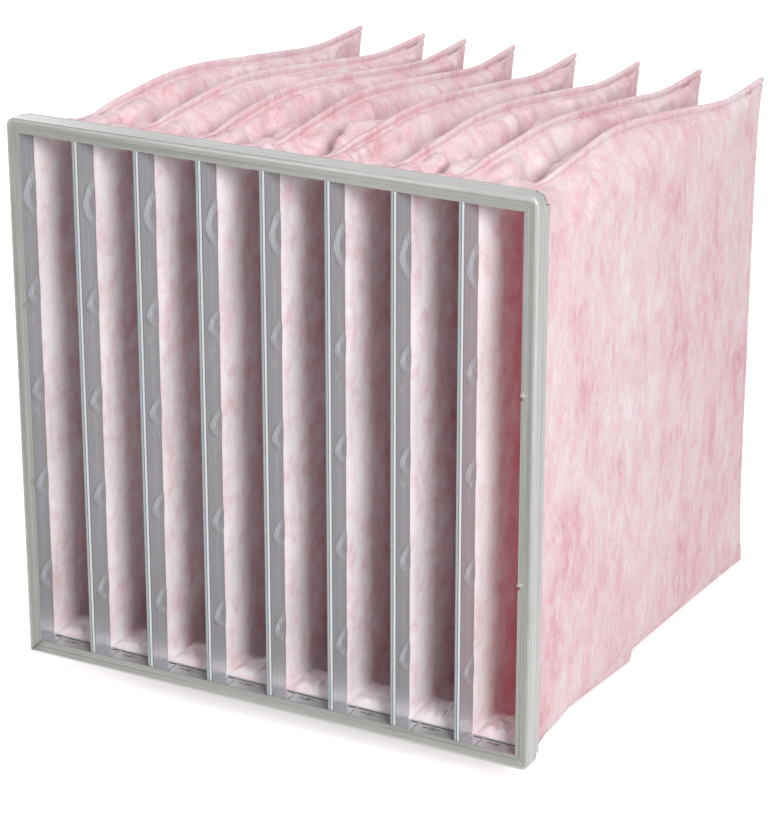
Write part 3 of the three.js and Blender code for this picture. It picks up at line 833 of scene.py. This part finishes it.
class Graph:
    """Adds the nodes of one shader tree and joins them."""

    def __init__(self, tree):
        self.nodes = tree.nodes
        self.link = tree.links.new

    def add(self, kind):
        """One new shader node."""
        return self.nodes.new("ShaderNode" + kind)

    def noise(self, vector, scale, stretch, detail=4.0, roughness=0.55, distortion=0.0):
        """A noise texture with its coordinates stretched along each axis."""
        mapping = self.add("Mapping")
        mapping.inputs["Scale"].default_value = stretch
        texture = self.add("TexNoise")
        texture.inputs["Detail"].default_value = detail
        texture.inputs["Roughness"].default_value = roughness
        texture.inputs["Distortion"].default_value = distortion
        texture.inputs["Scale"].default_value = scale
        self.link(vector, mapping.inputs["Vector"])
        self.link(mapping.outputs["Vector"], texture.inputs["Vector"])
        return texture.outputs["Fac"]

    def math(self, operation, first, second=None, third=None, clamp=False):
        """One math node whose inputs are sockets or numbers."""
        node = self.add("Math")
        node.operation = operation
        node.use_clamp = clamp
        for socket, value in zip(node.inputs, (first, second, third)):
            if isinstance(value, (int, float)):
                socket.default_value = value
            elif value is not None:
                self.link(value, socket)
        return node.outputs[0]

    def ramp(self, factor, stops):
        """A colour ramp with stops of (place, colour)."""
        node = self.add("ValToRGB")
        elements = node.color_ramp.elements
        for place, _ in stops[2:]:
            elements.new(place)
        for element, (place, colour) in zip(elements, sorted(stops)):
            element.position = place
            element.color = colour
        self.link(factor, node.inputs["Fac"])
        return node.outputs["Color"]

    def bump(self, height, distance, strength, shader):
        """Feeds a height to a shader's normal."""
        node = self.add("Bump")
        node.inputs["Distance"].default_value = distance
        node.inputs["Strength"].default_value = strength
        self.link(height, node.inputs["Height"])
        self.link(node.outputs["Normal"], shader.inputs["Normal"])

    def effect(self, name, make):
        """Puts in the named node group, which is made on its first use."""
        node = self.add("Group")
        node.node_tree = bpy.data.node_groups.get(name) or make()
        return node

    def seen_rays(self):
        """1 for rays that show a surface to the camera, straight or by a reflection."""
        rays = self.add("LightPath").outputs
        seen = self.math("MAXIMUM", rays["Is Camera Ray"], rays["Is Glossy Ray"])
        return self.math("MAXIMUM", seen, rays["Is Transmission Ray"])


def fibre_group():
    """Mottled fibre media: how pink it is, and how its fibres stand."""
    group, start, end = node_group(
        "FibreMottle",
        [("Vector", "NodeSocketVector", None), ("Streak", "NodeSocketFloat", 0.5)],
        [("Pink", "NodeSocketFloat"), ("Fibre", "NodeSocketFloat")])
    graph = Graph(group)
    vector = start.outputs["Vector"]
    cloud = graph.noise(vector, 6.5, (1, 1, 0.8), 3.0, 0.5, 0.6)
    blotch = graph.noise(vector, 34.0, (1, 1, 0.52), 8.0, 0.66, 0.7)
    even = graph.noise(vector, 42.0, (1, 1, 0.9), 8.0, 0.68, 0.3)
    streak = graph.noise(vector, 140.0, (1, 1, 0.34), 5.0, 0.62, 1.4)
    hair = graph.noise(vector, 520.0, (1, 1, 0.09), 2.0, 0.5, 0.0)
    fuzz = graph.noise(vector, 640.0, (1, 1, 0.7), 4.0, 0.6, 0.5)
    strand = graph.noise(vector, 40.0, (1, 1, 0.34), 4.0, 0.6, 2.6)
    wisp = graph.math("ABSOLUTE", graph.math("SUBTRACT", strand, 0.5))
    wisp = graph.math("MULTIPLY_ADD", wisp, -22.0, 1.0, clamp=True)
    lined = graph.math("MULTIPLY_ADD", blotch, 0.6, graph.math("MULTIPLY", cloud, 0.3))
    lined = graph.math("MULTIPLY_ADD", streak, 0.26, lined)
    lined = graph.math("MULTIPLY_ADD", hair, 0.06, lined)
    lined = graph.math("MULTIPLY_ADD", wisp, -0.1, lined)
    mottled = graph.math("MULTIPLY_ADD", even, 0.78, graph.math("MULTIPLY", cloud, 0.22))
    mottled = graph.math("MULTIPLY_ADD", fuzz, 0.14, mottled)
    mix = graph.add("Mix")
    graph.link(start.outputs["Streak"], mix.inputs[0])
    graph.link(graph.math("MULTIPLY_ADD", mottled, 0.7, 0.08), mix.inputs[2])
    graph.link(graph.math("MULTIPLY", lined, 0.84), mix.inputs[3])
    graph.link(mix.outputs[0], end.inputs["Pink"])
    fibre = graph.math("MULTIPLY_ADD", fuzz, 0.4, graph.math("MULTIPLY", streak, 0.5))
    fibre = graph.math("MULTIPLY_ADD", wisp, 0.25, fibre)
    graph.link(fibre, end.inputs["Fibre"])
    return group


def sheet_group():
    """Rolled zinc sheet: tone along and across the strip, roughness and fine grain."""
    group, start, end = node_group(
        "SheetGrain",
        [("Vector", "NodeSocketVector", None)],
        [("Tone", "NodeSocketFloat"), ("Rough", "NodeSocketFloat"), ("Grain", "NodeSocketFloat")])
    graph = Graph(group)
    vector = start.outputs["Vector"]
    band = graph.noise(vector, 420.0, (0.004, 1, 1), 2.0, 0.5)
    brush = graph.noise(vector, 900.0, (0.03, 1, 1), 3.0, 0.6)
    cloud = graph.noise(vector, 26.0, (1, 1, 1), 4.0, 0.6)
    tone = graph.math("MULTIPLY_ADD", band, 0.75, graph.math("MULTIPLY", brush, 0.25))
    tone = graph.math("MULTIPLY_ADD", cloud, 0.12, tone)
    graph.link(graph.math("MULTIPLY", tone, 0.87), end.inputs["Tone"])
    rough = graph.math("MULTIPLY_ADD", cloud, 0.3, graph.math("MULTIPLY", brush, 0.2))
    graph.link(graph.math("ADD", rough, 0.12), end.inputs["Rough"])
    graph.link(graph.math("ADD", brush, cloud), end.inputs["Grain"])
    return group


def principled(name):
    """A new material with its nodes and its shader."""
    material = bpy.data.materials.new(name)
    material.use_nodes = True
    graph = Graph(material.node_tree)
    return material, graph, graph.nodes["Principled BSDF"]


def media_material(name, settings, streaks=0.0, paler_as_lit=0.0, deeper_in_shade=0.0, glow=0.0):
    """Pink mottled fibre media, which may be streaked, painted paler as if lit, painted deeper pink
    towards the rear as shade, or given a painted glow.
    """
    material, graph, shader = principled(name)
    place = graph.add("TexCoord").outputs["Object"]
    mottle = graph.effect("FibreMottle", fibre_group)
    graph.link(place, mottle.inputs["Vector"])
    mottle.inputs["Streak"].default_value = streaks
    tones = [np.array(c) for c in (settings.pale, settings.pink, settings.deep)]
    # Painted light: the tones are drawn paler as if lit.
    pale = tones[0] + (np.array((0.91, 0.9, 0.9)) - tones[0]) * paler_as_lit
    mid = tones[1] + (pale - tones[1]) * 0.5 * paler_as_lit
    half = mid + (pale - mid) * (0.5 + 0.5 * paler_as_lit)
    pale, half, mid, deep = (tuple(c) + (1.0,) for c in (pale, half, mid, tones[2]))
    parts = graph.add("SeparateXYZ")
    graph.link(place, parts.inputs[0])
    # Painted shade: the colour turns deeper pink towards the rear of the bag.
    depth = graph.math("MULTIPLY_ADD", parts.outputs["Y"], 7.0, -0.35, clamp=True)
    pink = graph.math("MULTIPLY_ADD", depth, deeper_in_shade, mottle.outputs["Pink"])
    stops = [(0.39, pale), (0.64, deep), (0.47, half), (0.54, mid)]
    stops = [(0.485 + (p - 0.485) * (1 + paler_as_lit), tone) for p, tone in stops]
    colour = graph.ramp(pink, stops)
    graph.link(colour, shader.inputs["Base Color"])
    shader.inputs["Roughness"].default_value = 0.95
    shader.inputs["Specular IOR Level"].default_value = 0.15
    shader.inputs["Sheen Weight"].default_value = 0.12
    shader.inputs["Sheen Roughness"].default_value = 0.5
    # Painted glow: emission that grows towards the rear stands in for light passing through the
    # bag's lit outer wall.
    shader.inputs["Emission Color"].default_value = (1.0, 0.17, 0.22, 1.0)
    graph.link(graph.math("MULTIPLY", depth, glow), shader.inputs["Emission Strength"])
    graph.bump(mottle.outputs["Fibre"], 0.0012, 0.35, shader)
    return material


def thread_and_seam_shade_material():
    """Twisted sewing thread in a deeper pink than the media, which also paints the shade along the
    seam lines.
    """
    material, graph, shader = principled("thread")
    place = graph.add("TexCoord").outputs["Object"]
    twist = graph.noise(place, 900.0, (1, 1, 1), 2.0, 0.5)
    # The thread's deeper pink is partly its own colour and partly painted shade along the seams.
    colour = graph.ramp(twist, [(0.3, linear(186, 134, 147)), (0.7, linear(214, 168, 178))])
    graph.link(colour, shader.inputs["Base Color"])
    shader.inputs["Roughness"].default_value = 0.8
    return material


def steel_material(name, settings, painted_strips, grain, metallic, dull):
    """Galvanised sheet with grain along it, and painted light and shade in strips across its
    section.
    """
    material, graph, shader = principled(name)
    strip = graph.add("UVMap")
    strip.uv_map = "sheet"
    sheet = graph.effect("SheetGrain", sheet_group)
    graph.link(strip.outputs["UV"], sheet.inputs["Vector"])
    dark, light = (*settings.dark, 1.0), (*settings.light, 1.0)
    colour = graph.ramp(sheet.outputs["Tone"], [(0.3, dark), (0.7, light)])
    parts = graph.add("SeparateXYZ")
    graph.link(strip.outputs["UV"], parts.inputs[0])
    place = graph.math("MULTIPLY", parts.outputs["Y"], 1 / (MM * painted_strips[-1][0]))
    painted_strips = [(mm / painted_strips[-1][0], (*shade, 1.0)) for mm, shade in painted_strips]
    # Painted light and shade: the strip tints multiply into the sheet's colour.
    painted_tint = graph.add("Mix")
    painted_tint.data_type, painted_tint.blend_type = "RGBA", "MULTIPLY"
    painted_tint.inputs[0].default_value = 1.0
    graph.link(colour, painted_tint.inputs[6])
    graph.link(graph.ramp(place, painted_strips), painted_tint.inputs[7])
    graph.link(painted_tint.outputs[2], shader.inputs["Base Color"])
    rough = graph.math("MULTIPLY", sheet.outputs["Rough"], dull)
    graph.link(rough, shader.inputs["Roughness"])
    shader.inputs["Metallic"].default_value = metallic
    graph.bump(sheet.outputs["Grain"], 0.0003, grain, shader)
    return material


def mark_and_slot_shade_material():
    """Dark pressed lines, a little uneven; the same dark paints the shade seen through the ring
    slots.
    """
    material, graph, shader = principled("pressed_mark_and_slot_shade")
    place = graph.add("TexCoord").outputs["Object"]
    worn = graph.noise(place, 500.0, (1, 1, 1), 2.0, 0.5)
    colour = graph.ramp(worn, [(0.35, linear(38, 42, 44)), (0.65, linear(84, 88, 90))])
    graph.link(colour, shader.inputs["Base Color"])
    shader.inputs["Roughness"].default_value = 0.6
    return material


def floor_material(colour):
    """Plain pale floor that keeps its shadows and looks white where nothing shades it."""
    material, graph, shader = principled("floor")
    shader.inputs["Base Color"].default_value = colour
    shader.inputs["Roughness"].default_value = 0.9
    shader.inputs["Specular IOR Level"].default_value = 0.1
    shader.inputs["Emission Color"].default_value = (1, 1, 1, 1)
    seen = graph.seen_rays()
    graph.link(graph.math("MULTIPLY", seen, 0.55), shader.inputs["Emission Strength"])
    return material


# Settings
class HeaderSettings(bpy.types.PropertyGroup):
    """Sizes and colours of the header frame."""
    band_depth: FloatProperty(
        name="Band depth", description="Height of the faint bands rolled along the flange",
        default=0.00009, subtype="DISTANCE", unit="LENGTH", precision=5)
    band_step: FloatProperty(
        name="Band step", description="How far the flange steps back inside its rounded edge",
        default=0.0004, subtype="DISTANCE", unit="LENGTH", precision=5)
    crease_depth: FloatProperty(
        name="Crease depth", description="Depth of the crease across each bent corner",
        default=0.0006, subtype="DISTANCE", unit="LENGTH", precision=5)
    dark: FloatVectorProperty(
        name="Dark tone", description="Darker tone of the zinc sheet",
        subtype="COLOR", size=3, default=linear(140, 141, 139)[:3], min=0, max=1)
    light: FloatVectorProperty(
        name="Light tone", description="Lighter tone of the zinc sheet",
        subtype="COLOR", size=3, default=linear(212, 213, 211)[:3], min=0, max=1)


class RingSettings(bpy.types.PropertyGroup):
    """Sizes and colours of the folded pocket rings."""
    crimps: IntProperty(
        name="Crimps", description="Number of pressed crimps up each leg", default=5, min=1)
    crimp_spacing: FloatProperty(
        name="Crimp spacing", description="Distance between crimps",
        default=0.106, subtype="DISTANCE", unit="LENGTH")
    leg_bow: FloatProperty(
        name="Leg bow", description="How far a leg bows into the pocket between two crimps",
        default=0.0009, subtype="DISTANCE", unit="LENGTH", precision=5)
    crimp_depth: FloatProperty(
        name="Crimp depth", description="How far a crimp is pressed into the leg",
        default=0.0019, subtype="DISTANCE", unit="LENGTH", precision=5)
    dark: FloatVectorProperty(
        name="Dark tone", description="Darker tone of the folded strip",
        subtype="COLOR", size=3, default=linear(190, 192, 196)[:3], min=0, max=1)
    light: FloatVectorProperty(
        name="Light tone", description="Lighter tone of the folded strip",
        subtype="COLOR", size=3, default=linear(218, 220, 224)[:3], min=0, max=1)


class BagSettings(bpy.types.PropertyGroup):
    """Sizes and colours of the sewn bags."""
    crest_height: FloatProperty(
        name="Top seam height", description="Height of the sewn edge along the top of a bag",
        default=0.008, subtype="DISTANCE", unit="LENGTH")
    seam_thickness: FloatProperty(
        name="Seam thickness", description="Thickness of the two layers pressed together",
        default=0.0054, subtype="DISTANCE", unit="LENGTH")
    fold_depth: FloatProperty(
        name="Fold depth", description="Height of the soft folds near the top seam",
        default=0.0078, subtype="DISTANCE", unit="LENGTH")
    stitch_spacing: FloatProperty(
        name="Stitch spacing", description="Distance from one stitch to the next",
        default=0.0045, subtype="DISTANCE", unit="LENGTH")
    thread_thickness: FloatProperty(
        name="Thread thickness", description="Thickness of the sewing thread",
        default=0.0008, subtype="DISTANCE", unit="LENGTH", precision=5)
    streaks: FloatProperty(
        name="Streaks", description="How much the mottling runs in upright streaks",
        default=0.62, subtype="FACTOR", min=0, max=1)
    pale: FloatVectorProperty(
        name="Pale tone", description="Palest tone of the media",
        subtype="COLOR", size=3, default=linear(233, 222, 224)[:3], min=0, max=1)
    pink: FloatVectorProperty(
        name="Pink tone", description="Usual pink of the media",
        subtype="COLOR", size=3, default=linear(225, 184, 192)[:3], min=0, max=1)
    deep: FloatVectorProperty(
        name="Deep tone", description="Deepest pink of the mottling",
        subtype="COLOR", size=3, default=linear(208, 135, 149)[:3], min=0, max=1)


class StudioSettings(bpy.types.PropertyGroup):
    """Floor, light and camera."""
    floor_colour: FloatVectorProperty(
        name="Floor colour", description="Colour of the plain floor",
        subtype="COLOR", size=3, default=(0.86, 0.86, 0.86), min=0, max=1)
    floor_drop: FloatProperty(
        name="Floor drop", description="How far the floor lies below the lowest bag",
        default=0.0015, subtype="DISTANCE", unit="LENGTH")
    sky: FloatProperty(
        name="Sky", description="Strength of the even light from all round", default=0.3,
        subtype="FACTOR", min=0, max=1)
    key: FloatProperty(
        name="Key light", description="Power of the large soft light", default=150.0,
        unit="POWER")
    lens: FloatProperty(
        name="Lens", description="Focal length of the camera in millimetres", default=133.1,
        unit="CAMERA")
    azimuth: FloatProperty(
        name="Azimuth", description="Camera's angle round the filter",
        default=math.radians(28.05), subtype="ANGLE")
    elevation: FloatProperty(
        name="Elevation", description="Camera's angle above the horizon",
        default=math.radians(21.1), subtype="ANGLE")
    eye: FloatVectorProperty(
        name="Eye", description="Camera's place", subtype="TRANSLATION", unit="LENGTH", size=3,
        default=(1.4303, -2.4441, 1.4162))


# Operators
class BAGFILTER_OT_header(bpy.types.Operator):
    """Add the header frame"""
    bl_idname = "bagfilter.header"
    bl_label = "Header frame"

    def execute(self, context):
        settings = context.scene.bagfilter_header
        points, faces, coordinates = header_geometry(settings)
        steel = steel_material("galvanised", settings, HEADER_PAINTED_LIGHT,
                               grain=0.25, metallic=0.45, dull=1.0)
        piece = add_piece("header", points, faces, [steel], coordinates)
        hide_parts("header_frame")
        return {"FINISHED"}


class BAGFILTER_OT_rings(bpy.types.Operator):
    """Add the folded rings round the pockets' mouths"""
    bl_idname = "bagfilter.rings"
    bl_label = "Pocket rings"

    def execute(self, context):
        settings = context.scene.bagfilter_ring
        steel = steel_material("ring_steel", settings, RING_PAINTED_LIGHT,
                               grain=0.05, metallic=0.48, dull=0.65)
        points, faces, coordinates = ring_geometry(settings)
        for number in range(POCKETS):
            shift = np.array([pocket_x(number), 0, 0])
            piece = add_piece(f"ring_{number + 1}", np.array(points) + shift, faces, [steel],
                              coordinates)
            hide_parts(f"pocket_ring_{number + 1}")
        # The pressed strokes, and the dark boxes that paint the shade under the slots.
        marks, mark_and_shade_faces = mark_and_slot_shade_geometry()
        add_piece("crimp_marks_and_slot_shade", marks, mark_and_shade_faces, [mark_and_slot_shade_material()])
        return {"FINISHED"}


class BAGFILTER_OT_bags(bpy.types.Operator):
    """Add the sewn media bags with their stitching"""
    bl_idname = "bagfilter.bags"
    bl_label = "Bags"

    def execute(self, context):
        settings = context.scene.bagfilter_bag
        # The inside is a lit and shaded copy of the media: painted paler, with painted shade
        # towards the rear.
        inside = {"paler_as_lit": 0.65, "deeper_in_shade": 0.3}
        media = [media_material("media", settings, streaks=settings.streaks),
                 media_material("media_inside_lit_and_shaded", settings, **inside)]
        # The last bag's inside carries a painted glow for the light that its lit outer wall lets
        # through.
        last = [media[0], media_material("media_painted_glow", settings, **inside, glow=0.11)]
        thread = thread_and_seam_shade_material()
        for number in range(POCKETS):
            points, faces, inner_from, skin = bag_geometry(number, settings)
            bag = add_piece(f"bag_{number + 1}", points, faces,
                            last if number == POCKETS - 1 else media,
                            second_from=inner_from)
            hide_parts(f"pocket_bag_{number + 1}")
            rows, row_faces = bag_stitches(number, skin, settings)
            seam = add_piece(f"stitches_{number + 1}", rows, row_faces, [thread])
        return {"FINISHED"}


class BAGFILTER_OT_studio(bpy.types.Operator):
    """Add the floor, the light and the camera"""
    bl_idname = "bagfilter.studio"
    bl_label = "Studio"

    def execute(self, context):
        settings = context.scene.bagfilter_studio
        add_floor(settings)
        light_world(settings)
        for name, place, size, share in LAMPS:
            add_lamp(name, place, size, settings.key * share)
        add_camera(settings)
        return {"FINISHED"}


def add_floor(settings):
    """A wide plain floor just under the lowest bag."""
    level = LOWEST * MM - settings.floor_drop
    mesh = bpy.data.meshes.new("floor")
    reach = 12.0
    corners = [(-reach, -reach, level), (reach, -reach, level),
               (reach, reach, level), (-reach, reach, level)]
    mesh.from_pydata(corners, [], [(0, 1, 2, 3)])
    mesh.materials.append(floor_material(tuple(settings.floor_colour) + (1.0,)))
    floor = bpy.data.objects.new("floor", mesh)
    bpy.context.scene.collection.objects.link(floor)


def light_world(settings):
    """Even light all round, seen as plain white by the camera and in reflections."""
    world = bpy.data.worlds.new("studio")
    world.use_nodes = True
    bpy.context.scene.world = world
    graph = Graph(world.node_tree)
    seen = graph.seen_rays()
    strength = graph.math("MULTIPLY_ADD", seen, 1.0 - settings.sky, settings.sky)
    background = graph.nodes["Background"]
    background.inputs["Color"].default_value = (1, 1, 1, 1)
    graph.link(strength, background.inputs["Strength"])


def add_lamp(name, place, size, power):
    """A large soft lamp that faces the middle of the filter."""
    data = bpy.data.lights.new(name, "AREA")
    data.shape = "RECTANGLE"
    data.size, data.size_y = size
    data.energy = power
    lamp = bpy.data.objects.new(name, data)
    lamp.location = place
    aim = Vector((0.0, 0.3, 0.3)) - Vector(place)
    lamp.rotation_euler = aim.to_track_quat("-Z", "Y").to_euler()
    bpy.context.scene.collection.objects.link(lamp)


def add_camera(settings):
    """The camera at the photograph's angle."""
    data = bpy.data.cameras.new("camera")
    data.lens = settings.lens
    data.clip_end = 50.0
    camera = bpy.data.objects.new("camera", data)
    camera.location = settings.eye
    across, up = settings.azimuth, settings.elevation
    back = Vector((math.sin(across) * math.cos(up), -math.cos(across) * math.cos(up), math.sin(up)))
    camera.rotation_euler = (-back).to_track_quat("-Z", "Y").to_euler()
    bpy.context.scene.collection.objects.link(camera)
    bpy.context.scene.camera = camera


class BAGFILTER_PT_panel(bpy.types.Panel):
    """Pieces of the bag air filter"""
    bl_label = "Bag filter"
    bl_idname = "BAGFILTER_PT_panel"
    bl_space_type = "VIEW_3D"
    bl_region_type = "UI"
    bl_category = "Bag filter"

    def draw(self, context):
        column = self.layout.column()
        for operator in OPERATORS:
            column.operator(operator.bl_idname)
        for group in (context.scene.bagfilter_header, context.scene.bagfilter_ring,
                      context.scene.bagfilter_bag, context.scene.bagfilter_studio):
            box = column.box()
            for name in group.__annotations__:
                box.prop(group, name)


OPERATORS = (BAGFILTER_OT_header, BAGFILTER_OT_rings, BAGFILTER_OT_bags, BAGFILTER_OT_studio)
GROUPS = {
    "bagfilter_header": HeaderSettings,
    "bagfilter_ring": RingSettings,
    "bagfilter_bag": BagSettings,
    "bagfilter_studio": StudioSettings,
}


def register():
    for group in GROUPS.values():
        bpy.utils.register_class(group)
    for name, group in GROUPS.items():
        setattr(bpy.types.Scene, name, PointerProperty(type=group))
    for operator in OPERATORS:
        bpy.utils.register_class(operator)
    bpy.utils.register_class(BAGFILTER_PT_panel)


def unregister():
    bpy.utils.unregister_class(BAGFILTER_PT_panel)
    for operator in reversed(OPERATORS):
        bpy.utils.unregister_class(operator)
    for name, group in GROUPS.items():
        delattr(bpy.types.Scene, name)
        bpy.utils.unregister_class(group)


def main():
    """Builds the filter in its studio."""
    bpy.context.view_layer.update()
    register()
    bpy.context.scene.view_settings.view_transform = "Standard"
    bpy.ops.bagfilter.header()
    bpy.ops.bagfilter.rings()
    bpy.ops.bagfilter.bags()
    bpy.ops.bagfilter.studio()


if __name__ == "__main__":
    main()
